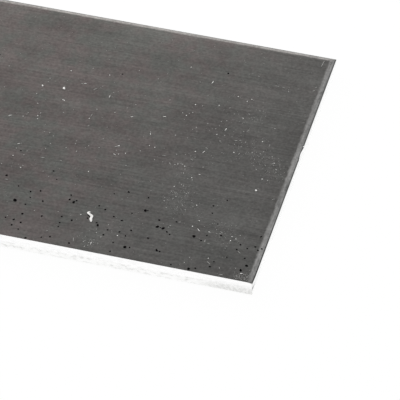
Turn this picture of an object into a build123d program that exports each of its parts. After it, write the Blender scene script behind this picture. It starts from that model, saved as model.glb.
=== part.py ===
from build123d import *
import os

# Aluminium sheet, cut to size on a guillotine shear and lying flat.
# Millimetres. +X runs along the length, +Y along the width and +Z is up.
# The origin is under the middle of the sheet, on the face that it lies on.

# Size of the sheet
sheet_length = 200.0
sheet_width = 100.0
sheet_thickness = 5.0

# Section of a sheared edge, from the face that the blade entered to the face where the piece broke off
roll_over_width = 2.0  # how far in from the edge the entered face is drawn down
roll_over_depth = 0.6  # how much of the thickness that rounding takes
burnish_height = 1.9  # upright smooth band that the blade cut
break_out = 0.15  # how far the torn rest of the edge leans back under the smooth band


def section(span):
    """The sheet cut across, drawn about the middle of its thickness.

    A shear stroke draws down the upper face of the piece that stays on the bed and the lower face of
    the piece that falls away. The sheet is cut free on all sides by such strokes, so the edge at one end
    of the section is the edge at the other end turned half round.
    """
    half_span = span / 2
    upper_face = sheet_thickness / 2
    burnish_top = upper_face - roll_over_depth
    burnish_foot = burnish_top - burnish_height

    # A quarter ellipse leaves the face without a crease and meets the smooth band upright.
    roll_over = EllipticalCenterArc(
        (half_span - roll_over_width, burnish_top), roll_over_width, roll_over_depth, arc_size=90
    )
    burnish = Line((half_span, burnish_top), (half_span, burnish_foot))
    fracture = Line((half_span, burnish_foot), (half_span - break_out, -upper_face))
    lower_face = Line((half_span - break_out, -upper_face), (roll_over_width - half_span, -upper_face))

    half_outline = [roll_over, burnish, fracture, lower_face]
    other_half = [Rot(0, 0, 180) * line for line in half_outline]
    return make_face(half_outline + other_half)


def drawn_out(plane, span, reach):
    """A section of this span, drawn out to this reach on both sides of the middle."""
    return extrude(plane.offset(-reach) * section(span), amount=2 * reach)


def sheet():
    """The sheet is the common volume of its two sections, each drawn out past the other.

    The right and back edges are rounded at the top, and the front and left edges underneath, so at each
    corner of the outline two edges run into each other as the strokes left them.
    """
    along_width = drawn_out(Plane.XZ, sheet_length, sheet_width)
    along_length = drawn_out(Plane.YZ, sheet_width, sheet_length)
    return Pos(0, 0, sheet_thickness / 2) * (along_width & along_length)


os.makedirs("parts", exist_ok=True)
export_step(sheet(), "parts/sheet.step")
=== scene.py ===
"""Sheet of mill-finish aluminium, sheared to size and lying flat, with the dirt that lies on it.

Lengths are metres in the row frame. The camera looks down on the front right corner of the sheet.
"""
import math

import bpy
import numpy as np
from bpy.props import FloatProperty, FloatVectorProperty, IntProperty, PointerProperty
from mathutils import Matrix, Vector


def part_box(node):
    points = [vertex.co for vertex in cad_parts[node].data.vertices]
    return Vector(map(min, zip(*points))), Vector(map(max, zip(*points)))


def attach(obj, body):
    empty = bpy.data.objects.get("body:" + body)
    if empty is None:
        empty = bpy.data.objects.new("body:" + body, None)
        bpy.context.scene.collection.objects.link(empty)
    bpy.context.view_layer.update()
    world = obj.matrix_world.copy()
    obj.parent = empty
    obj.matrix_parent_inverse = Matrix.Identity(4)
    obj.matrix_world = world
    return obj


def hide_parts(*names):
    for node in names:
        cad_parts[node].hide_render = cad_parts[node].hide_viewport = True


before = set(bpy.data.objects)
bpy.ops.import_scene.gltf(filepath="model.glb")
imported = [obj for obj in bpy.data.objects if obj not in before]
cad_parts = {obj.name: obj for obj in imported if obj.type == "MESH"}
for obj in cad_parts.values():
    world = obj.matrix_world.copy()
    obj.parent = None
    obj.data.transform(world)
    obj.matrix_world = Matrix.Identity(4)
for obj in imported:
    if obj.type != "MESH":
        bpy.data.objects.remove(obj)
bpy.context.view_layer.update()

bl_info = {
    "name": "Sheared Aluminium Sheet",
    "version": (1, 0, 0),
    "blender": (4, 5, 0),
    "location": "3D View > Sidebar > Sheet",
    "description": "Builds a sheared sheet of mill-finish aluminium with the dirt that lies on it",
    "category": "Add Mesh",
}

BODY = "root"
NODE = "sheet"
MM = 0.001

LOW, HIGH = (np.array(corner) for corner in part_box(NODE))
LENGTH, WIDTH, THICKNESS = HIGH - LOW

# Start of the random relief of each edge
FRONT_SEED, RIGHT_SEED, BACK_SEED, LEFT_SEED = 37, 23, 53, 11

# Faces that meet at a larger angle than this have a sharp edge between them
CREASE_ANGLE = math.radians(35)

# How strewn grains lie, as the power in random_places: grit in a belt along the front, the rest evenly
GRIT_BELT, EVEN_BELT = 2.6, 1.0

# Side of the square picture in pixels, and its middle
PICTURE = 400
MIDDLE = PICTURE / 2

# Places on the upper side, as pixels of the picture. Grit is listed from coarse to faint grains.
COARSE_GRIT = [
    (15.0, 200.0), (73.7, 202.1), (97.7, 225.1), (145.4, 210.5), (157.5, 226.6), (162.9, 228.3),
    (193.9, 236.3), (125.0, 247.0), (156.6, 250.2), (188.4, 268.8), (246.6, 265.8), (240.6, 270.1),
]
FINE_GRIT = [
    (209.9, 266.6), (30.5, 191.5), (40.6, 190.8), (30.4, 197.3), (42.9, 201.1), (25.5, 204.3),
    (22.3, 213.6), (5.4, 217.2), (13.8, 219.3), (20.7, 222.3), (11.5, 224.8), (18.1, 229.0), (50.1, 236.6),
    (61.7, 216.5), (59.6, 222.7), (58.2, 226.5), (69.0, 242.9), (71.3, 195.1), (69.8, 199.4), (76.7, 200.6),
    (87.4, 218.1), (96.6, 222.7), (99.2, 205.7), (105.4, 209.6), (113.8, 216.5), (121.8, 220.4),
    (107.5, 229.8), (103.3, 234.9), (119.4, 231.8), (131.1, 230.3), (125.5, 235.9), (128.7, 192.0),
    (148.6, 197.7), (131.9, 213.2), (159.3, 220.1), (166.8, 231.8), (169.6, 234.4), (176.5, 221.8),
    (148.1, 238.1), (113.0, 242.4), (129.6, 247.4), (159.6, 251.5), (110.2, 251.2), (195.4, 268.2),
    (53.4, 171.0), (6.6, 175.3), (227.3, 200.4), (25.4, 237.7), (41.2, 237.2), (41.8, 216.0), (71.8, 220.2),
    (213.5, 205.8), (221.2, 235.6), (206.9, 235.4), (201.2, 240.5), (240.6, 244.6), (236.8, 249.4),
    (247.2, 248.5), (255.4, 246.9), (257.9, 250.2), (261.6, 248.8), (261.1, 236.7), (244.7, 258.3),
    (213.8, 261.7), (228.3, 73.3),
]
FAINT_GRIT = [
    (114.4, 193.7), (170.9, 264.6), (18.6, 186.0), (20.8, 150.5), (212.3, 213.1), (217.8, 224.0),
    (226.8, 257.4), (122.7, 74.1), (160.4, 227.7), (147.9, 210.5), (56.7, 179.4),
]
BRIGHT_FLAKES = [
    (42.6, 85.5), (63.9, 87.6), (64.0, 88.6), (256.1, 190.3),
]
PALE_FLAKES = [
    (64.4, 100.3), (63.0, 99.8), (71.2, 70.7), (109.8, 75.1), (37.8, 115.5), (37.5, 118.6), (20.4, 167.3),
    (118.6, 154.0), (119.3, 145.6), (149.5, 145.5), (154.8, 147.4), (212.8, 82.3), (238.3, 96.5),
    (247.3, 101.3), (219.2, 105.4), (216.9, 134.4), (262.5, 141.7), (233.9, 152.4), (195.4, 104.6),
    (191.2, 67.2), (274.2, 163.3), (262.2, 179.0), (174.2, 186.4), (196.8, 205.3), (199.2, 220.5),
    (192.5, 226.2), (232.0, 236.6), (230.5, 240.6), (241.6, 273.5), (240.9, 273.4), (80.8, 214.4),
    (191.9, 177.6), (177.8, 164.0), (184.9, 166.2), (195.4, 151.4), (186.3, 115.4), (88.5, 171.4),
    (89.2, 118.3), (125.4, 153.3), (13.0, 155.4), (208.2, 258.3), (251.9, 99.4), (235.9, 239.0),
    (117.3, 235.6), (243.0, 118.2), (37.8, 103.3),
]
DIM_FLAKES = [
    (272.3, 156.7), (265.3, 165.7), (220.0, 233.6), (222.0, 232.9), (189.6, 257.5), (184.4, 262.4),
    (168.5, 227.3), (170.3, 225.6), (181.5, 184.6), (183.6, 186.0), (171.5, 191.3), (176.3, 193.0),
    (184.5, 192.4), (186.4, 193.6), (188.5, 192.8), (176.0, 196.5), (172.7, 198.8), (164.3, 200.8),
    (182.5, 205.2), (175.0, 209.2), (185.3, 209.5), (166.2, 207.5), (259.0, 76.4), (263.4, 111.3),
    (260.0, 111.0), (269.5, 145.2), (96.4, 229.1), (96.4, 232.5), (108.5, 224.7), (100.8, 236.9),
    (97.9, 243.2), (88.7, 242.6), (83.4, 241.4), (84.4, 246.4), (94.0, 239.8), (216.7, 229.8),
    (219.4, 268.0), (235.4, 268.2), (247.0, 277.0), (139.4, 70.7), (274.9, 128.6), (240.1, 235.5),
    (6.4, 179.3), (36.6, 93.6), (23.2, 116.2), (28.3, 112.6), (40.6, 113.0), (44.3, 131.6), (49.7, 132.7),
    (53.4, 135.9), (50.3, 143.5), (45.6, 148.5), (16.4, 148.0), (27.2, 150.8), (23.9, 154.8), (1.5, 163.5),
    (42.6, 157.4), (61.0, 160.6), (75.4, 143.6), (76.4, 140.8), (66.1, 147.7), (76.5, 151.3), (88.6, 145.7),
    (99.1, 147.6), (103.3, 138.7), (107.1, 127.2), (88.6, 125.7), (96.9, 109.2), (63.4, 112.5),
    (50.2, 78.3), (48.3, 81.6), (9.2, 65.9), (4.2, 86.9), (93.2, 68.3), (158.4, 78.9), (160.9, 82.1),
    (200.2, 82.1), (170.0, 100.0), (202.4, 106.1), (182.8, 112.9), (189.5, 113.5), (192.7, 112.6),
    (184.3, 119.6), (196.5, 127.4), (192.6, 129.3), (207.9, 123.7), (215.5, 128.8), (175.4, 135.3),
    (187.6, 138.0), (127.3, 108.1), (136.0, 104.8), (114.8, 112.5), (113.5, 92.5), (126.0, 165.3),
    (154.4, 159.6), (140.3, 150.9), (116.5, 150.4), (176.7, 154.2), (195.2, 157.2), (174.9, 164.7),
    (182.6, 164.2), (184.9, 169.3), (187.8, 178.4), (192.3, 180.0), (224.6, 135.4), (234.4, 144.4),
    (239.3, 153.6), (252.2, 152.9), (260.3, 153.8), (263.6, 151.8), (254.6, 159.3), (276.3, 169.8),
    (275.9, 172.3), (267.6, 180.4), (256.3, 169.4), (203.1, 167.1), (248.7, 130.4), (243.8, 131.4),
    (226.8, 120.7), (221.4, 121.6), (234.4, 114.0), (249.6, 114.6), (241.5, 146.8), (245.5, 142.1),
    (220.1, 141.1), (43.1, 171.1), (48.7, 176.4), (22.8, 165.4), (34.5, 210.4), (58.2, 211.4),
    (47.0, 230.4), (7.3, 215.6),
]
# Slivers by their two ends
SLIVERS = [
    ((202.2, 153.3), (205.2, 150.6)), ((224.6, 131.2), (226.9, 128.1)), ((108.8, 98.3), (110.4, 94.8)),
    ((197.4, 228.2), (199.8, 231.6)), ((84.0, 83.6), (87.2, 83.4)), ((8.2, 115.9), (12.4, 114.8)),
    ((16.8, 143.8), (20.6, 143.3)), ((239.6, 273.8), (243.4, 273.4)), ((130.4, 116.9), (133.6, 116.5)),
    ((163.0, 116.8), (166.6, 116.5)), ((150.5, 134.8), (150.5, 133.0)), ((198.2, 174.3), (200.8, 174.8)),
    ((90.2, 244.3), (91.8, 241.4)), ((211.6, 83.4), (213.9, 81.2)), ((112.8, 153.5), (116.6, 155.4)),
    ((208.2, 231.9), (210.8, 232.4)), ((116.8, 146.6), (120.2, 145.2)),
]
# Faint slivers and scratches by their two ends
SCRATCHES = [
    ((274.6, 86.0), (280.4, 86.7)), ((282.6, 87.5), (285.6, 88.5)), ((288.2, 90.6), (288.8, 92.4)),
    ((314.0, 87.8), (318.4, 87.0)), ((238.0, 251.2), (240.6, 253.8)), ((218.8, 274.2), (223.2, 275.2)),
    ((73.3, 242.0), (73.5, 237.5)), ((114.4, 147.0), (118.6, 146.2)), ((234.0, 140.8), (238.2, 140.6)),
    ((238.8, 140.6), (241.8, 140.4)), ((271.4, 199.6), (275.2, 199.0)), ((320.5, 68.0), (325.0, 60.0)),
    ((312.2, 91.4), (315.6, 90.0)), ((178.0, 222.4), (181.6, 222.0)), ((204.3, 243.0), (205.3, 239.4)),
    ((206.4, 243.6), (210.2, 243.6)), ((206.8, 261.4), (210.4, 264.4)), ((81.0, 83.7), (84.2, 83.6)),
    ((205.4, 147.2), (208.0, 149.4)), ((161.6, 155.2), (166.0, 155.8)), ((190.4, 159.0), (193.4, 160.6)),
    ((169.2, 162.5), (170.8, 165.0)), ((183.4, 172.0), (183.6, 174.6)), ((90.6, 117.2), (92.4, 113.6)),
    ((93.0, 89.9), (97.4, 88.6)), ((150.5, 133.0), (150.5, 131.4)), ((40.6, 157.6), (44.6, 157.4)),
    ((4.4, 179.2), (8.4, 179.6)), ((20.6, 143.4), (22.2, 143.2)),
]
# Patches of fine dust: the middle, how far it spreads and how many grains it has
DUST_PATCHES = [
    ((181, 198), 9, 170), ((180, 165), 9, 30), ((258, 152), 7.5, 75), ((274, 169), 6.5, 90),
    ((256, 118), 6, 30), ((222, 236), 10, 100), ((90, 243), 5, 40), ((237.5, 276.4), 2.2, 60),
    ((112, 205), 30, 60), ((232, 128), 20, 130), ((244.5, 277.2), 2.2, 60),
]
# Line of the curled chip
CHIP_LINE = [
    (90.6, 212.6), (89.3, 212.5), (88.1, 213.5), (90.0, 215.0), (91.8, 216.7), (90.9, 219.0), (91.2, 222.1),
]


# Settings

def size_setting(name, description, default):
    """A setting that is a length in metres."""
    return FloatProperty(name=name, description=description, default=default, unit="LENGTH")


def colour_setting(name, description, default):
    """A setting that is a colour."""
    return FloatVectorProperty(name=name, description=description, default=default, subtype="COLOR")


class SectionSettings(bpy.types.PropertyGroup):
    """Section of the sheared edges, as in the solid, and the relief that the shear left on them."""

    roll_over_width: size_setting(
        "Roll-over width", "How far in from the edge the entered face is drawn down", 2.0 * MM
    )
    roll_over_depth: size_setting(
        "Roll-over depth", "How much of the thickness the rounding takes", 0.6 * MM
    )
    burnish_height: size_setting("Burnish height", "Upright smooth band that the blade cut", 1.9 * MM)
    break_out: size_setting("Break-out", "How far the torn rest of the edge leans back", 0.15 * MM)
    foot_wander: size_setting(
        "Foot wander",
        "How far the limit between the smooth band and the torn part strays up and down",
        0.25 * MM,
    )
    tear_relief: size_setting("Tear relief", "Depth of the rough relief of the torn part", 0.03 * MM)
    nick_start: size_setting(
        "Nick start", "Distance from the front at which the scrape in the right edge starts", 53.7 * MM
    )
    nick_length: size_setting(
        "Nick length", "Length of the scrape along the right edge, up to the notch that ends it", 6.0 * MM
    )
    nick_depth: size_setting("Nick depth", "Depth of the scrape in the right edge", 0.22 * MM)
    cell: size_setting("Mesh cell", "Spacing of the sheet's mesh along its edges", 1.0 * MM)


class DirtSettings(bpy.types.PropertyGroup):
    """Sizes and numbers of what lies on the sheet. A grain's size is half its width."""

    coarse_grit: size_setting("Coarse grit", "Size of a coarse dark grain", 0.56 * MM)
    fine_grit: size_setting("Fine grit", "Size of a fine dark grain", 0.35 * MM)
    faint_grit: size_setting("Faint grit", "Size of a faint dark grain", 0.29 * MM)
    bright_flake: size_setting("Bright flake", "Size of a large pale flake", 0.40 * MM)
    pale_flake: size_setting("Pale flake", "Size of a pale flake", 0.19 * MM)
    dim_flake: size_setting("Dim flake", "Size of a dull flake", 0.21 * MM)
    sliver: size_setting("Sliver", "Half the width of a pale sliver", 0.10 * MM)
    scratch: size_setting("Scratch", "Half the width of a faint scratch", 0.115 * MM)
    dust: size_setting("Dust", "Size of a grain of pale dust", 0.09 * MM)
    chip: size_setting("Chip", "Half the width of the curled chip", 0.32 * MM)
    edge_margin: size_setting("Edge margin", "How far strewn grains stay in from the edges", 0.7 * MM)
    loose_dust: IntProperty(
        name="Loose dust", description="Grains of dust strewn all over the sheet", default=600
    )
    outer_tries: FloatProperty(
        name="Outer tries",
        description="Grains strewn for each one that shows, of which those out of the picture are kept",
        default=2.2,
    )
    seed: IntProperty(name="Seed", description="Start of the random numbers", default=4)


class FinishSettings(bpy.types.PropertyGroup):
    """Colours of the metal and of the dirt."""

    mill_grey: colour_setting("Mill grey", "Rolled face of the sheet", (0.0821, 0.0815, 0.0806))
    # Paler than the mill grey, as a painted reflection of the light that the down-curved roll-over catches
    roll_over_sheen_grey: colour_setting(
        "Roll-over grey", "Face where the shear drew it down", (0.226, 0.226, 0.223)
    )
    rim_grey: colour_setting("Rim grey", "Outer rim of the roll-over", (0.09, 0.09, 0.088))
    # A little greyer than the torn metal: partly the smooth band's own finish, partly painted shade of its
    # upright face
    burnish_white: colour_setting("Burnished metal", "Smooth band of the cut edge", (0.96, 0.96, 0.955))
    tear_white: colour_setting("Torn metal", "Torn part of the cut edge", (0.995, 0.995, 0.995))
    # Also painted shade: low on the front edge by the front right corner, on the back and left edges, and
    # just past that corner on the right edge
    smudge_and_shade_grey: colour_setting("Smudges", "Smudges on the cut edge", (0.74, 0.74, 0.73))
    # Painted shade: a dark line along the foot of the smooth band of the right edge, beside the front corner
    break_shade_grey: colour_setting(
        "Scar", "Short dark scar on the right edge beside the front corner", (0.12, 0.12, 0.117)
    )
    pattern_start: FloatVectorProperty(
        name="Pattern start",
        description="Which part of the endless pattern of streaks and clouds falls on the sheet",
        default=(0.1, 0.1, 0.0),
        subtype="TRANSLATION",
    )
    grit_black: colour_setting("Grit", "Dark grit on the sheet", (0.005, 0.005, 0.005))
    flake_pale: colour_setting("Flakes", "Pale flakes and chip on the sheet", (0.80, 0.80, 0.78))
    dust_pale: colour_setting("Dust", "Fine pale dust on the sheet", (0.31, 0.31, 0.30))


class StageSettings(bpy.types.PropertyGroup):
    """Camera, floor and light."""

    azimuth: FloatProperty(
        name="Azimuth",
        description="Turn of the camera round the sheet, from straight in front",
        default=math.radians(15.37),
        subtype="ANGLE",
    )
    elevation: FloatProperty(
        name="Elevation",
        description="Height of the camera above the horizon",
        default=math.radians(43.72),
        subtype="ANGLE",
    )
    distance: size_setting("Distance", "Depth of the near corner in front of the camera", 1.0)
    lens: FloatProperty(name="Lens", description="Focal length in millimetres", default=317.8)
    sensor: FloatProperty(name="Sensor", description="Width of the sensor in millimetres", default=36.0)
    corner_pixel: FloatVectorProperty(
        name="Corner pixel",
        description="Where the near upper corner falls in the picture",
        size=2,
        default=(252.28, 283.78),
    )
    world_level: FloatProperty(
        name="World level", description="Light on the object from all round", default=1.0
    )
    lamp_power: FloatProperty(
        name="Lamp power",
        description="Power of the soft lamp behind the sheet",
        default=0.68,
        unit="POWER",
    )
    lamp_colour: colour_setting("Lamp colour", "Slightly warm light of the soft lamp", (1.0, 0.91, 0.86))
    lamp_place: FloatVectorProperty(
        name="Lamp place",
        description="Where the soft lamp stands, behind the sheet on the left",
        default=(-0.20, 0.30, 0.20),
        subtype="TRANSLATION",
    )
    lamp_size: FloatVectorProperty(
        name="Lamp size",
        description="Width and height of the soft lamp",
        size=2,
        default=(0.60, 0.10),
        unit="LENGTH",
    )
    floor_glow: FloatProperty(
        name="Floor whiteness",
        description="Share of the floor's look that is plain white, while the rest shows shadow",
        default=0.95,
        subtype="FACTOR",
    )


class SheetSettings(bpy.types.PropertyGroup):
    """All settings of the sheet."""

    section: PointerProperty(type=SectionSettings)
    dirt: PointerProperty(type=DirtSettings)
    finish: PointerProperty(type=FinishSettings)
    stage: PointerProperty(type=StageSettings)


# Camera geometry

def camera_axes(stage):
    """Unit vectors ahead, to the right and up, from the camera's azimuth and elevation."""
    a, e = stage.azimuth, stage.elevation
    ahead = np.array([-math.sin(a) * math.cos(e), math.cos(a) * math.cos(e), -math.sin(e)])
    right = np.array([math.cos(a), math.sin(a), 0.0])
    return ahead, right, np.cross(right, ahead)


def focal_pixels(stage):
    """Focal length in pixels of the picture."""
    return stage.lens / stage.sensor * PICTURE


def camera_rays(pixels, stage):
    """Directions through pixels: ahead + (px - middle) / f right - (py - middle) / f up."""
    ahead, right, up = camera_axes(stage)
    aside = (np.atleast_2d(pixels) - MIDDLE) / focal_pixels(stage)
    return ahead + aside[:, :1] * right - aside[:, 1:] * up


def camera_place(stage):
    """The camera lies back from the near upper corner along the ray of that corner's pixel."""
    corner = np.array([HIGH[0], LOW[1], HIGH[2]])
    return corner - stage.distance * camera_rays([stage.corner_pixel[:]], stage)[0]


def left_of_picture(points, stage):
    """True for points left of the picture: their way right over their way ahead is below -middle / f."""
    ahead, right, _ = camera_axes(stage)
    sight = points - camera_place(stage)
    return (sight @ right) / (sight @ ahead) < -MIDDLE / focal_pixels(stage)


def upper_height(x, y, section):
    """Height of the upper side: flat, then down a quarter ellipse over the roll-over.

    The roll-over runs along the right and back edges, so the distance from the nearer of the two counts.
    """
    inset = np.minimum(HIGH[0] - x, HIGH[1] - y)
    share = np.clip(1 - inset / section.roll_over_width, 0, 1)
    return HIGH[2] - section.roll_over_depth * (1 - np.sqrt(1 - share**2))


def on_upper_side(pixels, settings):
    """Points of the upper side under pixels.

    Each ray is cut at a level, the upper side's height is read there, and the ray is cut again at it.
    """
    rays = camera_rays(pixels, settings.stage)
    eye = camera_place(settings.stage)
    height = np.full(len(rays), HIGH[2])
    cuts = 4
    for _ in range(cuts):
        points = eye + rays * ((height - eye[2]) / rays[:, 2])[:, None]
        height = upper_height(points[:, 0], points[:, 1], settings.section)
    points[:, 2] = height
    return points


# Surfaces

def smooth_noise(along, across, seed):
    """Random values from -1 to 1 on a lattice that repeats, blended between its points by 3t^2 - 2t^3."""
    cells = 256
    lattice = np.random.default_rng(seed).uniform(-1, 1, (cells, cells))
    along, across = np.broadcast_arrays(along, across)
    i, j = np.floor(along).astype(int), np.floor(across).astype(int)
    s, t = smooth_step(along - i, 0, 1), smooth_step(across - j, 0, 1)
    near = lattice[i % cells, j % cells] * (1 - s) + lattice[(i + 1) % cells, j % cells] * s
    far = lattice[i % cells, (j + 1) % cells] * (1 - s) + lattice[(i + 1) % cells, (j + 1) % cells] * s
    return near * (1 - t) + far * t


def smooth_step(value, low, high):
    """0 up to low, 1 from high on and 3t^2 - 2t^3 between them."""
    t = np.clip((value - low) / (high - low), 0, 1)
    return t * t * (3 - 2 * t)


def bell(value, middle, reach):
    """A bell curve exp(-t^2), where t is the distance from the middle in reaches."""
    return np.exp(-(((value - middle) / reach) ** 2))


def edge_setback(depth, run, seed, section):
    """How far a sheared edge stands in from the overall size, and how torn it is from 0 to 1.

    At depth s below the entered face it is w (1 - sqrt(1 - (1 - s/d)^2)) over the roll-over and 0 over the
    smooth band. Then it goes evenly in to the break-out at the far face, with rough relief. The band's foot
    wanders in long and short waves.
    """
    long_wave, short_wave = 6 * MM, 1.7 * MM
    tear_length, tear_height = 1.1 * MM, 0.35 * MM
    tear_start, far_margin = 0.2 * MM, 0.3 * MM
    d, w = section.roll_over_depth, section.roll_over_width
    rounded = w * (1 - np.sqrt(1 - np.clip(1 - depth / d, 0, 1) ** 2))
    wander = 0.7 * smooth_noise(run / long_wave, 0.5, seed) + 0.3 * smooth_noise(run / short_wave, 7.5, seed)
    foot = d + section.burnish_height + section.foot_wander * wander
    fallen = np.clip((depth - foot) / (THICKNESS - foot), 0, 1)
    torn = smooth_step(depth - foot, 0, tear_start)
    rough = smooth_noise(run / tear_length, depth / tear_height, seed + 1)
    far_face = smooth_step(THICKNESS - depth, 0, far_margin)
    relief = section.tear_relief * (1 + rough) * torn * far_face
    return rounded + section.break_out * fallen + relief, torn


def nick_setback(run, height, section):
    """Extra setback of the right edge where it was scraped, over the upper part of the edge.

    A shallow scoop runs along it. A small tooth stands out before it and a larger one after it, and a
    notch more than twice as deep as the scoop ends it. The first few millimetres from the front corner
    are rubbed back.
    """
    tooth_reach, notch_reach = 0.035, 0.04
    worn_length = 4 * MM
    struck_top, struck_foot = 0.9 * MM, 2.2 * MM
    t = (run - section.nick_start) / section.nick_length
    scoop = 1.1 * smooth_step(t, 0, 0.45) * smooth_step(0.95 - t, 0, 0.5)
    teeth = 0.3 * bell(t, -0.02, tooth_reach) + 0.45 * bell(t, 0.955, tooth_reach)
    notch = 2.4 * bell(t, 1.03, notch_reach)
    corner = 0.6 * smooth_step(run, worn_length, 0)
    depth = THICKNESS - height
    struck = smooth_step(depth, struck_foot, struck_top) * smooth_step(depth, 0, section.roll_over_depth)
    return section.nick_depth * struck * (scoop - teeth + notch + corner)


def outline_points(fx, fy, height, section):
    """Points of the sheet's outline or faces at a height, and how torn the four edges are there.

    At every height the outline is a rectangle, set in from the overall size by each edge's own setback, and
    fx and fy go from 0 to 1 across it. The right and back edges were entered from above, the left and front
    ones from below.
    """
    run_x, run_y = fx * LENGTH, fy * WIDTH
    front, front_torn = edge_setback(height, run_x, FRONT_SEED, section)
    right, right_torn = edge_setback(THICKNESS - height, run_y, RIGHT_SEED, section)
    back, back_torn = edge_setback(THICKNESS - height, run_x, BACK_SEED, section)
    left, left_torn = edge_setback(height, run_y, LEFT_SEED, section)
    right = right + nick_setback(run_y, height, section)
    x = LOW[0] + left + fx * (LENGTH - left - right)
    y = LOW[1] + front + fy * (WIDTH - front - back)
    points = np.stack(np.broadcast_arrays(x, y, LOW[2] + height), -1)
    return points, np.stack(np.broadcast_arrays(front_torn, right_torn, back_torn, left_torn))


def wall_heights(section):
    """Heights of the rows of the walls.

    Over each roll-over they are even steps of the ellipse's angle, and between the two they are even steps.
    """
    rounded_rows, rows_between = 11, 29
    lower = section.roll_over_depth * (1 - np.sin(np.linspace(math.pi / 2, 0, rounded_rows)))
    upper = THICKNESS - lower[::-1]
    between = np.linspace(lower[-1], upper[0], rows_between)[1:-1]
    return np.concatenate([lower, between, upper])


def stations(span, cell, close_up=None, finer=5):
    """Places along an edge from 0 to 1, a cell apart.

    close_up gives the start and the end of a stretch where they lie closer by the factor finer.
    """
    places = np.linspace(0, 1, round(span / cell) + 1)
    if close_up is None:
        return places
    start, end = close_up
    close = np.arange(start, end, cell / finer) / span
    apart = (places * span < start - cell / 2) | (places * span > end + cell / 2)
    return np.sort(np.concatenate([places[apart], close]))


def ring_quads(rings):
    """Quads between rows of closed rings. Their corners go lower, lower next, upper next and upper."""
    after = np.roll(rings, -1, axis=1)
    return np.stack([rings[:-1], after[:-1], after[1:], rings[1:]], -1).reshape(-1, 4)


def ring_values(own, following):
    """Values at the corners of those quads, from the values of each ring point and of the point after it."""
    return np.stack([own[:-1], following[:-1], following[1:], own[1:]], -1).reshape(-1, 4)


def outline_ring(nx, ny):
    """Once round a grid from its front left corner: both indices of each point of the outline, and its side.

    The sides count front, right, back and left, and a corner belongs to the side that starts at it.
    """
    up_x, up_y = np.arange(nx - 1), np.arange(ny - 1)
    ring_x = np.concatenate([up_x, np.full(ny - 1, nx - 1), nx - 1 - up_x, np.zeros(ny - 1, int)])
    ring_y = np.concatenate([np.zeros(nx - 1, int), up_y, np.full(nx - 1, ny - 1), ny - 1 - up_y])
    side = np.repeat(np.arange(4), [nx - 1, ny - 1, nx - 1, ny - 1])
    return ring_x, ring_y, side


def wall_values(fx, fy, side, heights, torn, section):
    """Which quads of the walls are within a roll-over, and the values at the corners of all of them.

    The values are the share of the roll-over that is passed, sqrt(1 - (1 - s/d)^2) at depth s, the tear, and
    the run and the height on the wall. Each is taken for the side that its quad is on. fx and fy go once
    round the outline.
    """
    slack = 1.0001
    level = np.broadcast_to(heights[:, None], (len(heights), len(side)))
    entered_above = (side == 1) | (side == 2)
    depth = np.where(entered_above, THICKNESS - level, level)
    passed = np.sqrt(1 - np.clip(1 - depth / section.roll_over_depth, 0, 1) ** 2)
    own_torn, next_torn = (
        np.take_along_axis(t, side[None, None, :], 0)[0] for t in (torn, np.roll(torn, -1, axis=2))
    )
    steps = np.hypot(np.diff(fx, append=fx[0]) * LENGTH, np.diff(fy, append=fy[0]) * WIDTH)
    run = np.concatenate([[0], np.cumsum(steps)])
    own_run, next_run = (np.broadcast_to(r, depth.shape) for r in (run[:-1], run[1:]))
    within = np.maximum(depth[:-1], depth[1:]) < section.roll_over_depth * slack
    return within.ravel(), {
        "roll_over": ring_values(passed, passed),
        "torn": ring_values(own_torn, next_torn),
        "run": ring_values(own_run, next_run),
        "height": ring_values(level, level),
    }


def sheet_surface(section):
    """Closed surface of the sheet: an upper and a lower grid, joined round the outline by rows of walls.

    Returns points, quads, which quads are rolled face, and the values at the corners of the quads. On the
    two grids the share of the roll-over that is passed is below 0 ahead of it, and the other values are 0.
    """
    margin = section.cell
    nick = (section.nick_start - margin, section.nick_start + section.nick_length + margin)
    fx = stations(LENGTH, section.cell)
    fy = stations(WIDTH, section.cell, nick)
    nx, ny = len(fx), len(fy)
    heights = wall_heights(section)
    grid_x, grid_y = np.meshgrid(fx, fy, indexing="ij")
    lower, _ = outline_points(grid_x, grid_y, heights[0], section)
    upper, _ = outline_points(grid_x, grid_y, heights[-1], section)
    ring_x, ring_y, side = outline_ring(nx, ny)
    walls, torn = outline_points(fx[ring_x], fy[ring_y], heights[:, None], section)
    points = np.concatenate([lower.reshape(-1, 3), upper.reshape(-1, 3), walls[1:-1].reshape(-1, 3)])

    grid = np.arange(nx * ny).reshape(nx, ny)
    wall_rows = 2 * nx * ny + np.arange((len(heights) - 2) * len(side)).reshape(-1, len(side))
    rings = np.vstack([grid[ring_x, ring_y], wall_rows, nx * ny + grid[ring_x, ring_y]])
    cells = np.stack([grid[:-1, :-1], grid[1:, :-1], grid[1:, 1:], grid[:-1, 1:]], -1).reshape(-1, 4)
    flat_quads = np.concatenate([cells[:, ::-1], nx * ny + cells])
    quads = np.concatenate([flat_quads, ring_quads(rings)])

    inset = np.stack([lower[..., :2] - LOW[:2], HIGH[:2] - upper[..., :2]]).min(-1).ravel()
    ahead = np.maximum(1 - inset / section.roll_over_width, -1)[flat_quads]
    within, values = wall_values(fx[ring_x], fy[ring_y], side, heights, torn, section)
    on_grids = dict.fromkeys(values, np.zeros(flat_quads.shape)) | {"roll_over": ahead}
    values = {name: np.concatenate([on_grids[name], values[name]]) for name in values}
    rolled = np.concatenate([np.ones(len(flat_quads), bool), within])
    return points, quads, rolled, values


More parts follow.
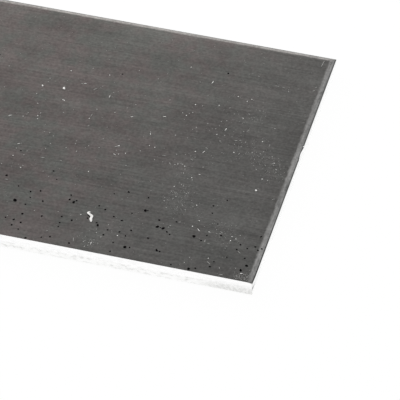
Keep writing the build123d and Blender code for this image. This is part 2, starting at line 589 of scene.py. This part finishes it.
def grain_cloud(places, half_sizes, turns, rng, rim=7):
    """Many closed grains at once: each a low dome over a ragged outline, resting on its place.

    A grain has a foot point, a rim r(a) (cos a, sin a) of random r, the same rim drawn in higher up, and
    a top. half_sizes holds half the length, half the width and the height of each grain, and turns how
    far it is turned about the vertical.
    """
    n = len(places)
    angle = np.arange(rim) * 2 * math.pi / rim
    ragged = rng.uniform(0.75, 1.2, (n, rim))
    outer = np.stack([ragged * np.cos(angle), ragged * np.sin(angle), np.zeros((n, rim))], -1)
    inner = outer * rng.uniform(0.5, 0.75, (n, 1, 1)) + [0, 0, 0.75]
    ends = np.zeros((n, 1, 3))
    unit = np.concatenate([ends, outer, inner, ends + [0, 0, 1]], 1) * half_sizes[:, None, :]
    x, y, z = np.moveaxis(unit, -1, 0)
    c, s = np.cos(turns)[:, None], np.sin(turns)[:, None]
    points = np.stack([c * x - s * y, s * x + c * y, z], -1) + places[:, None, :]

    i = np.arange(rim)
    j = (i + 1) % rim
    foot, top = 0 * i, 0 * i + 2 * rim + 1
    low_i, low_j, high_i, high_j = 1 + i, 1 + j, 1 + rim + i, 1 + rim + j
    triangles = np.concatenate([
        np.stack([foot, low_j, low_i], -1),
        np.stack([low_i, low_j, high_j], -1),
        np.stack([low_i, high_j, high_i], -1),
        np.stack([high_i, high_j, top], -1),
    ])
    faces = triangles[None] + (np.arange(n) * (2 * rim + 2))[:, None, None]
    return points.reshape(-1, 3), faces.reshape(-1, 3)


def strewn(places, radii, rng):
    """Grains of about these radii at these places, each a little longer than wide and turned at random.

    A grain sinks in by a seventh of its height, so that none of them floats.
    """
    n = len(places)
    sunk = 1 / 7
    shape = np.stack([rng.uniform(0.9, 1.25, n), rng.uniform(0.7, 1.0, n), rng.uniform(0.35, 0.6, n)], -1)
    half_sizes = shape * np.broadcast_to(radii, n)[:, None]
    seated = places - half_sizes * [0, 0, sunk]
    return grain_cloud(seated, half_sizes, rng.uniform(0, 2 * math.pi, n), rng)


def joined(*surfaces):
    """Several surfaces of points and faces as one, with the faces counted on."""
    starts = np.cumsum([0] + [len(points) for points, _ in surfaces[:-1]])
    faces = [faces + start for (_, faces), start in zip(surfaces, starts)]
    return np.concatenate([points for points, _ in surfaces]), np.concatenate(faces)


def smooth_line(corners, count):
    """Points along a cubic curve through the corners, evenly spread over their spans.

    The slope at a corner is half the step from the corner before it to the corner after it.
    """
    padded = np.concatenate([2 * corners[:1] - corners[1:2], corners, 2 * corners[-1:] - corners[-2:-1]])
    at = np.linspace(0, len(corners) - 1 - 1e-9, count)
    k = at.astype(int)
    t = (at - k)[:, None]
    p, q, r, s = (padded[k + m] for m in range(4))
    return 0.5 * (2 * q + (r - p) * t + (2 * p - 5 * q + 4 * r - s) * t**2 + (3 * q - p - 3 * r + s) * t**3)


def curled_strip(line, half_width, half_thickness, twist, around=12):
    """A flat oval carried along a level line, rolled over evenly by the twist and narrowed to both ends.

    The oval at parameter t is half_width cos b across and half_thickness sin b up, times
    (1 - (2t - 1)^6)^(1/2) and times 0.65 + 0.9 t, so that the far end is wider. Returns the points, the
    quads along the line and the two end faces.
    """
    t = np.linspace(0, 1, len(line))
    ahead = np.gradient(line, axis=0)
    ahead /= np.linalg.norm(ahead, axis=1, keepdims=True)
    across = np.cross([0, 0, 1], ahead)
    across /= np.linalg.norm(across, axis=1, keepdims=True)
    above = np.cross(ahead, across)
    roll = (twist * (t - 0.5))[:, None]
    c, s = np.cos(roll), np.sin(roll)
    across, above = across * c + above * s, above * c - across * s
    narrowing = (np.sqrt(np.clip(1 - (2 * t - 1) ** 6, 0.02, 1)) * (0.65 + 0.9 * t))[:, None, None]
    b = (np.arange(around) * 2 * math.pi / around)[None, :, None]
    oval = half_width * np.cos(b) * across[:, None, :] + half_thickness * np.sin(b) * above[:, None, :]
    points = (line[:, None, :] + oval * narrowing).reshape(-1, 3)
    rings = np.arange(len(line) * around).reshape(-1, around)
    return points, ring_quads(rings), [rings[0, ::-1], rings[-1]]


# Materials

def rgba(colour):
    """A colour setting as a socket takes it."""
    return (*colour, 1.0)


class Graph:
    """Adds nodes to a node tree. An input is a plain value, or the socket that it is linked from."""

    def __init__(self, tree):
        self.tree = tree

    def feed(self, node, inputs):
        """Sets or links a node's inputs, given by name or number."""
        for key, value in inputs.items():
            if isinstance(value, bpy.types.NodeSocket):
                self.tree.links.new(value, node.inputs[key])
            else:
                node.inputs[key].default_value = value

    def add(self, kind, inputs=None, **settings):
        """A new node of this kind, with its settings and inputs."""
        node = self.tree.nodes.new(kind)
        for name, value in settings.items():
            setattr(node, name, value)
        self.feed(node, inputs or {})
        return node

    def calc(self, operation, *values):
        """A Math node on these values."""
        return self.add("ShaderNodeMath", dict(enumerate(values)), operation=operation).outputs[0]

    def product(self, first, *others):
        """All these values multiplied."""
        for other in others:
            first = self.calc("MULTIPLY", first, other)
        return first

    def ramp(self, value, low, high, at_low=0.0, at_high=1.0):
        """A smooth rise from one value to another, between two values of the input."""
        inputs = {"Value": value, "From Min": low, "From Max": high, "To Min": at_low, "To Max": at_high}
        return self.add("ShaderNodeMapRange", inputs, interpolation_type="SMOOTHSTEP").outputs["Result"]

    def mix(self, share, first, second, blend="MIX"):
        """Two colours mixed. Sockets 6 and 7 are the node's two colours, and output 2 is the mixed one."""
        inputs = {"Factor": share, 6: first, 7: second}
        return self.add("ShaderNodeMix", inputs, data_type="RGBA", blend_type=blend).outputs[2]

    def shade(self, colour, factor):
        """A colour times a factor, which may be a colour too."""
        return self.mix(1.0, colour, factor, "MULTIPLY")

    def toned(self, colour, *parts):
        """A colour times a tone, which is 1 plus each value's distance from a half times its weight."""
        tone = 1 - sum(weight for _, weight in parts) / 2
        for value, weight in parts:
            tone = self.calc("MULTIPLY_ADD", value, weight, tone)
        return self.shade(colour, tone)

    def group(self, name, **inputs):
        """The output of one of the shared groups."""
        return self.add("ShaderNodeGroup", inputs, node_tree=bpy.data.node_groups[name]).outputs[0]

    def clouds(self, place, size):
        """Soft clouds of a size."""
        return self.group("clouding", Vector=place, Size=size)

    def streaks(self, place, length, width):
        """Streaks of a length and a width, drawn out along the first axis."""
        return self.group("drawn_streaks", Vector=place, Length=length, Width=width)

    def attribute(self, name):
        """A value that the mesh holds for each corner of its faces."""
        return self.add("ShaderNodeAttribute", attribute_name=name).outputs["Fac"]

    def place(self):
        """The place on the piece."""
        return self.add("ShaderNodeTexCoord").outputs["Object"]

    def edge_run(self):
        """The run along the edges and the height on them."""
        return self.add("ShaderNodeUVMap", uv_map="edge_run").outputs["UV"]

    def axes(self, vector):
        """The three parts of a vector."""
        return self.add("ShaderNodeSeparateXYZ", {0: vector}).outputs

    def bump(self, height, strength, distance):
        """The normal of a surface with this relief."""
        inputs = {"Strength": strength, "Distance": distance, "Height": height}
        return self.add("ShaderNodeBump", inputs).outputs[0]


def new_group(name, inputs, output):
    """An empty node group with inputs given by name and socket type, and one value as its output."""
    tree = bpy.data.node_groups.new(name, "ShaderNodeTree")
    for socket, kind in inputs.items():
        tree.interface.new_socket(socket, in_out="INPUT", socket_type=kind)
    tree.interface.new_socket(output, in_out="OUTPUT", socket_type="NodeSocketFloat")
    graph = Graph(tree)
    return graph, graph.add("NodeGroupInput").outputs


def drawn_streaks_group():
    """Streaks drawn out along the first axis: noise in a space shrunk by a streak's length and width."""
    sizes = {"Vector": "NodeSocketVector", "Length": "NodeSocketFloat", "Width": "NodeSocketFloat"}
    graph, given = new_group("drawn_streaks", sizes, "Streaks")
    parts = {"X": given["Length"], "Y": given["Width"], "Z": given["Width"]}
    size = graph.add("ShaderNodeCombineXYZ", parts).outputs[0]
    shrunk = graph.add("ShaderNodeVectorMath", {0: given["Vector"], 1: size}, operation="DIVIDE").outputs[0]
    look = {"Vector": shrunk, "Scale": 1.0, "Detail": 3.0, "Roughness": 0.55}
    noise = graph.add("ShaderNodeTexNoise", look)
    graph.add("NodeGroupOutput", {"Streaks": noise.outputs[0]})


def clouding_group():
    """Soft clouds of about one size."""
    graph, given = new_group("clouding", {"Vector": "NodeSocketVector", "Size": "NodeSocketFloat"}, "Clouds")
    scale = graph.calc("DIVIDE", 1.0, given["Size"])
    noise = graph.add("ShaderNodeTexNoise", {"Vector": given["Vector"], "Scale": scale, "Detail": 2.0})
    graph.add("NodeGroupOutput", {"Clouds": noise.outputs[0]})


def shared_groups():
    """Builds the groups that several materials use, once."""
    if "drawn_streaks" not in bpy.data.node_groups:
        drawn_streaks_group()
        clouding_group()


def new_material(name):
    """A material with its node graph and its Principled shader."""
    shared_groups()
    material = bpy.data.materials.new(name)
    material.use_nodes = True
    graph = Graph(material.node_tree)
    return material, graph, material.node_tree.nodes["Principled BSDF"]


def mill_finish(finish, section):
    """Rolled face: dull grey metal with fine streaks along the length and soft clouds.

    It is blotched where the shear drew it down, and painted paler there as the reflection of the light that
    the down-curved face catches. The outer rim of that band is dark above, darkest towards the front, and
    bright underneath.
    """
    material, graph, shader = new_material("mill_finish")
    spot = graph.place()
    x, y, z = graph.axes(spot)
    front = float(LOW[1])
    shift = tuple(finish.pattern_start)
    place = graph.add("ShaderNodeVectorMath", {0: spot, 1: shift}, operation="ADD").outputs[0]
    grain = graph.clouds(place, 0.75 * MM)
    short = graph.streaks(place, 3 * MM, 0.6 * MM)
    long = graph.streaks(place, 25 * MM, 0.7 * MM)
    rolling = graph.streaks(place, 90 * MM, 6 * MM)
    patches = graph.clouds(place, 9 * MM)
    wide = graph.clouds(place, 45 * MM)
    tint = graph.clouds(place, 13 * MM)
    mottle = graph.clouds(place, 4 * MM)

    face = graph.toned(rgba(finish.mill_grey), (grain, 0.85), (short, 0.35), (long, 0.65), (rolling, 0.5))
    face = graph.toned(face, (patches, 0.5), (wide, 0.4))
    # Warm and cool patches, which fade out towards the front right corner
    warm, cool, plain = (1.01, 0.92, 0.92, 1.0), (0.92, 0.97, 0.94, 1.0), (0.926, 0.945, 0.9325, 1.0)
    coolness = graph.calc("MULTIPLY_ADD", graph.calc("ADD", tint, mottle), 2.8, -2.4)
    cornerward = graph.calc("MULTIPLY_ADD", y, -0.35, x)
    fading = graph.ramp(cornerward, 40 * MM, 80 * MM, 0.0, 0.8)
    face = graph.shade(face, graph.mix(fading, graph.mix(coolness, warm, cool), plain))

    # The band where the shear drew the face down has streaks and blotches along the edge. Its grey is
    # painted paler than the face, as the reflection of the light that its down-curved face catches. Its back
    # half is a little darker, and its front end is darkest.
    passed = graph.attribute("roll_over")
    across = graph.calc("MULTIPLY", passed, section.roll_over_width)
    along, _, _ = graph.axes(graph.edge_run())
    on_band = graph.add("ShaderNodeCombineXYZ", {"X": along, "Y": across}).outputs[0]
    drawn = graph.streaks(on_band, 7 * MM, 0.5 * MM)
    blotches = graph.streaks(on_band, 2.5 * MM, 1.2 * MM)
    band_sheen_grey = rgba(finish.roll_over_sheen_grey)
    band = graph.toned(band_sheen_grey, (tint, 0.9), (grain, 0.85), (drawn, 0.95), (blotches, 1.1))
    band = graph.shade(band, graph.ramp(y, 3 * MM, 20 * MM, 1.0, 0.87))
    band = graph.shade(band, graph.ramp(y, front, front + 5 * MM, 0.62, 1.0))
    ragged = graph.calc("MULTIPLY", graph.ramp(blotches, 0.35, 0.65), 0.15)
    start = graph.calc("SUBTRACT", ragged, 0.08)
    end = graph.calc("ADD", ragged, 0.35)
    colour = graph.mix(graph.ramp(passed, start, end), face, band)

    # The dark rim is darker towards the front and ends just before the front corner, where it is bright like
    # the cut edge
    above = graph.ramp(z, 0.4 * THICKNESS, 0.6 * THICKNESS)
    darker_near_corner = graph.ramp(y, front, front + 35 * MM, 0.45, 1.0)
    dark_rim = graph.shade(rgba(finish.rim_grey), darker_near_corner)
    darkened = graph.product(above, graph.ramp(y, front + 0.1 * MM, front + 0.6 * MM))
    rim = graph.mix(darkened, rgba(finish.burnish_white), dark_rim)
    colour = graph.mix(graph.ramp(passed, 0.80, 0.92), colour, rim)

    roughness = graph.calc("MULTIPLY_ADD", short, 0.2, 0.34)
    normal = graph.bump(short, 0.2, 0.02 * MM)
    graph.feed(shader, {"Base Color": colour, "Metallic": 1.0, "Roughness": roughness, "Normal": normal})
    return material


def cut_edge(finish, section):
    """Sheared edge: bright metal, greyer and smudged on the smooth band, whiter and rough where it tore. The
    smooth band's grey is partly its smoother finish and partly painted shade of its upright face.
    """
    material, graph, shader = new_material("cut_edge")
    run = graph.edge_run()
    along, up, _ = graph.axes(run)
    past_corner = graph.calc("SUBTRACT", along, float(LENGTH))
    torn = graph.attribute("torn")
    smooth = graph.calc("SUBTRACT", 1.0, torn)
    scores = graph.streaks(run, 6 * MM, 0.12 * MM)
    smudges = graph.streaks(run, 2 * MM, 0.9 * MM)
    grain = graph.clouds(run, 0.16 * MM)
    mottles = graph.clouds(run, 0.9 * MM)
    grey = rgba(finish.smudge_and_shade_grey)

    metal = graph.mix(torn, rgba(finish.burnish_white), rgba(finish.tear_white))
    metal = graph.toned(metal, (scores, 0.16), (grain, 0.08), (smudges, -0.16))
    # Smudges all along the smooth band, and mottled painted shade low on the front edge up to the front
    # right corner, darker towards the bottom, where contact shade falls
    bare = graph.calc("MULTIPLY_ADD", torn, -0.85, 1.0)
    smudged = graph.product(graph.ramp(smudges, 0.47, 0.75), bare)
    low_shade = graph.product(
        graph.ramp(past_corner, -18 * MM, -8 * MM),
        graph.ramp(past_corner, 0.0, 0.1 * MM, 1.0, 0.0),
        graph.ramp(up, 0.8 * MM, 4.5 * MM, 1.0, 0.0),
        graph.ramp(mottles, 0.32, 0.68, 0.4, 1.3),
    )
    darkened = graph.calc("MAXIMUM", smudged, low_shade)
    # The back and left edges are painted greyer all along, as shade, in patches after the smudges
    back_corner = float(LENGTH + WIDTH)
    hidden = graph.ramp(along, back_corner - 1 * MM, back_corner + 1 * MM)
    dull = graph.product(hidden, graph.ramp(smudges, 0.3, 0.65, 0.35, 0.9))
    colour = graph.mix(graph.calc("MAXIMUM", darkened, dull), metal, grey)

    # Along the foot of the smooth band the torn part starts with a broken dark line
    foot_line = graph.product(torn, smooth, graph.ramp(smudges, 0.42, 0.60, 0.3, 1.4))
    colour = graph.mix(foot_line, colour, grey)

    # Just past the front right corner the right edge is painted grey as shade at the corner, and a dark line
    # of painted shade along the foot of the smooth band sinks and fades
    turned = graph.ramp(past_corner, -0.1 * MM, 0.0)
    darker_near_corner = graph.product(turned, graph.ramp(past_corner, 0.3 * MM, 0.9 * MM, 0.8, 0.0))
    colour = graph.mix(darker_near_corner, colour, grey)
    sinking = graph.calc("MAXIMUM", graph.calc("MULTIPLY_ADD", past_corner, -0.3, 2.8 * MM), 2.35 * MM)
    aside = graph.calc("ABSOLUTE", graph.calc("SUBTRACT", up, sinking))
    break_shade = graph.product(
        turned,
        graph.ramp(past_corner, 0.3 * MM, 4 * MM, 0.95, 0.2),
        graph.ramp(past_corner, 6 * MM, 11 * MM, 1.0, 0.0),
        graph.ramp(aside, 0.25 * MM, 0.8 * MM, 1.0, 0.0),
    )
    colour = graph.mix(break_shade, colour, rgba(finish.break_shade_grey))

    # The dark rim of the face reaches a little way down onto the smooth band
    rim = float(THICKNESS) - section.roll_over_depth
    lowest = rim - 0.25 * MM
    under_rim = graph.product(
        graph.ramp(up, lowest, rim), smooth, graph.ramp(past_corner, 0.1 * MM, 0.6 * MM)
    )
    colour = graph.mix(under_rim, colour, rgba(finish.rim_grey))

    roughness = graph.calc("MULTIPLY_ADD", torn, 0.17, 0.18)
    normal = graph.bump(graph.mix(torn, scores, grain), 0.35, 0.03 * MM)
    graph.feed(shader, {"Base Color": colour, "Metallic": 1.0, "Roughness": roughness, "Normal": normal})
    return material


def speckle(name, colour, spread, roughness, gloss=0.5):
    """Grit, flakes or dust: a colour that varies from grain to grain, with a rough skin of some gloss."""
    material, graph, shader = new_material(name)
    place = graph.place()
    grains = graph.clouds(place, 1.5 * MM)
    skin = graph.clouds(place, 0.12 * MM)
    graph.feed(shader, {
        "Base Color": graph.toned(rgba(colour), (grains, spread), (skin, spread / 2)),
        "Roughness": roughness,
        "Specular IOR Level": gloss,
        "Normal": graph.bump(skin, 0.4, 0.03 * MM),
    })
    return material


# Pieces

def new_piece(name, points, faces, *materials):
    """A mesh piece that rides on the sheet's body and takes its finish slot."""
    mesh = bpy.data.meshes.new(name)
    mesh.from_pydata(points.tolist(), [], faces)
    for material in materials:
        mesh.materials.append(material)
    mesh.shade_smooth()
    piece = bpy.data.objects.new(name, mesh)
    bpy.context.scene.collection.objects.link(piece)
    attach(piece, BODY)
    return piece


class ALUMINIUM_SHEET_OT_rolled_sheet(bpy.types.Operator):
    """Builds the sheet with its four sheared edges"""

    bl_idname = "aluminium_sheet.rolled_sheet"
    bl_label = "Rolled sheet"

    def execute(self, context):
        settings = context.scene.aluminium_sheet
        section, finish = settings.section, settings.finish
        points, quads, rolled, values = sheet_surface(section)
        looks = mill_finish(finish, section), cut_edge(finish, section)
        piece = new_piece("rolled_sheet", points, quads.tolist(), *looks)
        mesh = piece.data
        mesh.polygons.foreach_set("material_index", np.where(rolled, 0, 1).astype(np.int32))
        for name in ("roll_over", "torn"):
            attribute = mesh.attributes.new(name, "FLOAT", "CORNER")
            attribute.data.foreach_set("value", values[name].astype(np.float32).ravel())
        edge_run = np.stack([values["run"], values["height"]], -1)
        mesh.uv_layers.new(name="edge_run").data.foreach_set("uv", edge_run.astype(np.float32).ravel())
        mesh.set_sharp_from_angle(angle=CREASE_ANGLE)
        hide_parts(NODE)
        return {"FINISHED"}


def random_places(count, rng, front_belt, settings):
    """Random points of the upper side, a margin in from its edges.

    Their distance from the front edge is the width times r^front_belt, where r is spread evenly from 0 to 1,
    so that a power above 1 gathers them there.
    """
    margin = settings.dirt.edge_margin
    x = rng.uniform(LOW[0] + margin, HIGH[0] - margin, count)
    y = LOW[1] + margin + (WIDTH - 2 * margin) * rng.uniform(0, 1, count) ** front_belt
    return np.stack([x, y, upper_height(x, y, settings.section)], -1)


def unseen_places(seen, rng, front_belt, settings):
    """Random points left of the picture, about as many to the area as the number seen in the picture."""
    points = random_places(round(settings.dirt.outer_tries * seen), rng, front_belt, settings)
    return points[left_of_picture(points, settings.stage)]


class ALUMINIUM_SHEET_OT_dark_grit(bpy.types.Operator):
    """Strews the dark grit, most of it along the front edge"""

    bl_idname = "aluminium_sheet.dark_grit"
    bl_label = "Dark grit"

    def execute(self, context):
        settings = context.scene.aluminium_sheet
        dirt = settings.dirt
        rng = np.random.default_rng(dirt.seed)
        sizes = [dirt.coarse_grit, dirt.fine_grit, dirt.faint_grit]
        lists = [COARSE_GRIT, FINE_GRIT, FAINT_GRIT]
        seen = on_upper_side(sum(lists, []), settings)
        outer = unseen_places(len(seen), rng, GRIT_BELT, settings)
        seen_radii = np.repeat(sizes, [len(pixels) for pixels in lists])
        outer_radii = rng.choice(seen_radii, len(outer))
        radii = np.concatenate([seen_radii, outer_radii])
        points, faces = strewn(np.concatenate([seen, outer]), radii, rng)
        black = speckle("grit", settings.finish.grit_black, spread=0.8, roughness=0.7, gloss=0.0)
        new_piece("dark_grit", points, faces.tolist(), black)
        return {"FINISHED"}


class ALUMINIUM_SHEET_OT_pale_flakes(bpy.types.Operator):
    """Strews the pale flakes and slivers, and the dull flakes, scratches and fine dust"""

    bl_idname = "aluminium_sheet.pale_flakes"
    bl_label = "Pale flakes and dust"

    def execute(self, context):
        settings = context.scene.aluminium_sheet
        dirt, finish = settings.dirt, settings.finish
        rng = np.random.default_rng(dirt.seed + 1)
        points, faces = joined(
            self.flakes(BRIGHT_FLAKES, dirt.bright_flake, settings, rng),
            self.flakes(PALE_FLAKES, dirt.pale_flake, settings, rng),
            self.slivers(SLIVERS, dirt.sliver, settings, rng),
        )
        pale = speckle("flakes", finish.flake_pale, spread=0.3, roughness=0.5)
        new_piece("pale_flakes", points, faces.tolist(), pale)
        points, faces = joined(
            self.flakes(DIM_FLAKES, dirt.dim_flake, settings, rng),
            self.slivers(SCRATCHES, dirt.scratch, settings, rng),
            self.dust(settings, rng),
        )
        dull = speckle("dust", finish.dust_pale, spread=0.35, roughness=0.6)
        new_piece("pale_dust", points, faces.tolist(), dull)
        return {"FINISHED"}

    def flakes(self, pixels, size, settings, rng):
        """Flakes under their pixels, and as many to the area where the picture doesn't reach."""
        seen = on_upper_side(pixels, settings)
        outer = unseen_places(len(seen), rng, EVEN_BELT, settings)
        return strewn(np.concatenate([seen, outer]), size, rng)

    def slivers(self, ends, half_width, settings, rng):
        """Thin grains, each laid from one end to the other."""
        ends = np.array(ends)
        starts = on_upper_side(ends[:, 0], settings)
        stops = on_upper_side(ends[:, 1], settings)
        span = stops - starts
        half_length = np.hypot(span[:, 0], span[:, 1]) / 2
        half_widths = np.full(len(span), half_width)
        half_sizes = np.stack([half_length, half_widths, half_widths], -1)
        return grain_cloud((starts + stops) / 2, half_sizes, np.arctan2(span[:, 1], span[:, 0]), rng)

    def dust(self, settings, rng):
        """Grains about the patches' middles in bell curves, and loose ones all over the upper side."""
        dirt = settings.dirt
        patches = [rng.normal(middle, spread, (count, 2)) for middle, spread, count in DUST_PATCHES]
        places = on_upper_side(np.concatenate(patches), settings)
        low, high = LOW[:2] + dirt.edge_margin, HIGH[:2] - dirt.edge_margin
        inside = np.all((places[:, :2] > low) & (places[:, :2] < high), axis=1)
        loose = random_places(dirt.loose_dust, rng, EVEN_BELT, settings)
        places = np.concatenate([places[inside], loose])
        return strewn(places, dirt.dust * rng.uniform(0.5, 1.5, len(places)), rng)


class ALUMINIUM_SHEET_OT_curled_chip(bpy.types.Operator):
    """Lays down the curled chip of bright metal"""

    bl_idname = "aluminium_sheet.curled_chip"
    bl_label = "Curled chip"

    def execute(self, context):
        settings = context.scene.aluminium_sheet
        half_width = settings.dirt.chip
        steps, twist = 49, 0.8
        arch, sunk = 0.15 * MM, 0.02 * MM
        line = smooth_line(on_upper_side(CHIP_LINE, settings), steps)
        line[:, 2] += arch * np.sin(math.pi * np.linspace(0, 1, steps))
        points, sides, ends = curled_strip(line, half_width, 0.3 * half_width, twist)
        points[:, 2] += HIGH[2] - sunk - points[:, 2].min()
        faces = sides.tolist() + [end.tolist() for end in ends]
        bright = speckle("chip", settings.finish.flake_pale, spread=0.5, roughness=0.4)
        new_piece("curled_chip", points, faces, bright)
        return {"FINISHED"}


# Stage

def white_to_sight(graph):
    """1 for rays that show a surface to the camera, directly, in a reflection or through glass."""
    path = graph.add("ShaderNodeLightPath").outputs
    seen = graph.calc("MAXIMUM", path["Is Camera Ray"], path["Is Glossy Ray"])
    return graph.calc("MAXIMUM", seen, path["Is Transmission Ray"])


def floor_material(glow):
    """Pale floor: mostly plain white to sight, with the rest diffuse so that it keeps the sheet's shadow."""
    material = bpy.data.materials.new("pale_floor")
    material.use_nodes = True
    tree = material.node_tree
    tree.nodes.remove(tree.nodes["Principled BSDF"])
    graph = Graph(tree)
    share = graph.calc("MULTIPLY", white_to_sight(graph), glow)
    pale = graph.add("ShaderNodeBsdfDiffuse", {"Color": (0.95, 0.95, 0.95, 1.0)}).outputs[0]
    white = graph.add("ShaderNodeEmission", {"Color": (1.0, 1.0, 1.0, 1.0), "Strength": 1.0}).outputs[0]
    mixed = graph.add("ShaderNodeMixShader", {0: share, 1: pale, 2: white}).outputs[0]
    graph.feed(tree.nodes["Material Output"], {"Surface": mixed})
    material.cycles.emission_sampling = "NONE"
    return material


class ALUMINIUM_SHEET_OT_stage(bpy.types.Operator):
    """Sets up the floor, the light and the camera"""

    bl_idname = "aluminium_sheet.stage"
    bl_label = "Stage"

    def execute(self, context):
        stage = context.scene.aluminium_sheet.stage
        self.floor(stage)
        self.world(context.scene, stage)
        self.lamp(stage)
        self.camera(context.scene, stage)
        context.scene.view_settings.view_transform = "Standard"
        return {"FINISHED"}

    def floor(self, stage):
        """A square floor, a hair's breadth under the sheet."""
        half, gap = 8.0, 0.02 * MM
        height = LOW[2] - gap
        signs = ((-1, -1), (1, -1), (1, 1), (-1, 1))
        corners = [(x * half, y * half, height) for x, y in signs]
        mesh = bpy.data.meshes.new("floor")
        mesh.from_pydata(corners, [], [(0, 1, 2, 3)])
        mesh.materials.append(floor_material(stage.floor_glow))
        floor = bpy.data.objects.new("floor", mesh)
        bpy.context.scene.collection.objects.link(floor)

    def world(self, scene, stage):
        """White to sight, and an even light on the object."""
        scene.world = bpy.data.worlds.new("studio")
        scene.world.use_nodes = True
        graph = Graph(scene.world.node_tree)
        level = graph.calc("MULTIPLY_ADD", white_to_sight(graph), 1 - stage.world_level, stage.world_level)
        background = scene.world.node_tree.nodes["Background"]
        graph.feed(background, {"Color": (1.0, 1.0, 1.0, 1.0), "Strength": level})

    def lamp(self, stage):
        """A lamp that looks at the middle of the sheet."""
        light = bpy.data.lights.new("soft_lamp", "AREA")
        light.shape = "RECTANGLE"
        light.size, light.size_y = stage.lamp_size
        light.energy = stage.lamp_power
        light.color = stage.lamp_colour
        lamp = bpy.data.objects.new("soft_lamp", light)
        lamp.location = stage.lamp_place
        lamp.rotation_euler = (-Vector(stage.lamp_place)).to_track_quat("-Z", "Y").to_euler()
        lamp.visible_camera = False
        bpy.context.scene.collection.objects.link(lamp)

    def camera(self, scene, stage):
        """The camera stands where the near corner falls on its pixel."""
        ahead, right, up = camera_axes(stage)
        data = bpy.data.cameras.new("camera")
        data.lens = stage.lens
        data.sensor_width = stage.sensor
        camera = bpy.data.objects.new("camera", data)
        pose = np.eye(4)
        pose[:3] = np.stack([right, up, -ahead, camera_place(stage)], 1)
        camera.matrix_world = Matrix(pose.tolist())
        scene.collection.objects.link(camera)
        scene.camera = camera


# Add-on

OPERATORS = (
    ALUMINIUM_SHEET_OT_rolled_sheet,
    ALUMINIUM_SHEET_OT_dark_grit,
    ALUMINIUM_SHEET_OT_pale_flakes,
    ALUMINIUM_SHEET_OT_curled_chip,
    ALUMINIUM_SHEET_OT_stage,
)


class ALUMINIUM_SHEET_PT_build(bpy.types.Panel):
    """Lists the steps that build the sheet and their settings"""

    bl_idname = "ALUMINIUM_SHEET_PT_build"
    bl_label = "Aluminium sheet"
    bl_space_type = "VIEW_3D"
    bl_region_type = "UI"
    bl_category = "Sheet"

    def draw(self, context):
        settings = context.scene.aluminium_sheet
        for operator in OPERATORS:
            self.layout.operator(operator.bl_idname)
        for group in (settings.section, settings.dirt, settings.finish, settings.stage):
            box = self.layout.box()
            for name in group.__annotations__:
                box.prop(group, name)


CLASSES = (
    SectionSettings,
    DirtSettings,
    FinishSettings,
    StageSettings,
    SheetSettings,
    *OPERATORS,
    ALUMINIUM_SHEET_PT_build,
)


def register():
    """Registers the classes and puts the settings on the scene."""
    for cls in CLASSES:
        bpy.utils.register_class(cls)
    bpy.types.Scene.aluminium_sheet = PointerProperty(type=SheetSettings)


def unregister():
    """Takes the settings off the scene and the classes out again."""
    del bpy.types.Scene.aluminium_sheet
    for cls in reversed(CLASSES):
        bpy.utils.unregister_class(cls)


def main():
    """Builds the sheet and its stage."""
    register()
    bpy.ops.aluminium_sheet.rolled_sheet()
    bpy.ops.aluminium_sheet.dark_grit()
    bpy.ops.aluminium_sheet.pale_flakes()
    bpy.ops.aluminium_sheet.curled_chip()
    bpy.ops.aluminium_sheet.stage()


if __name__ == "__main__":
    main()
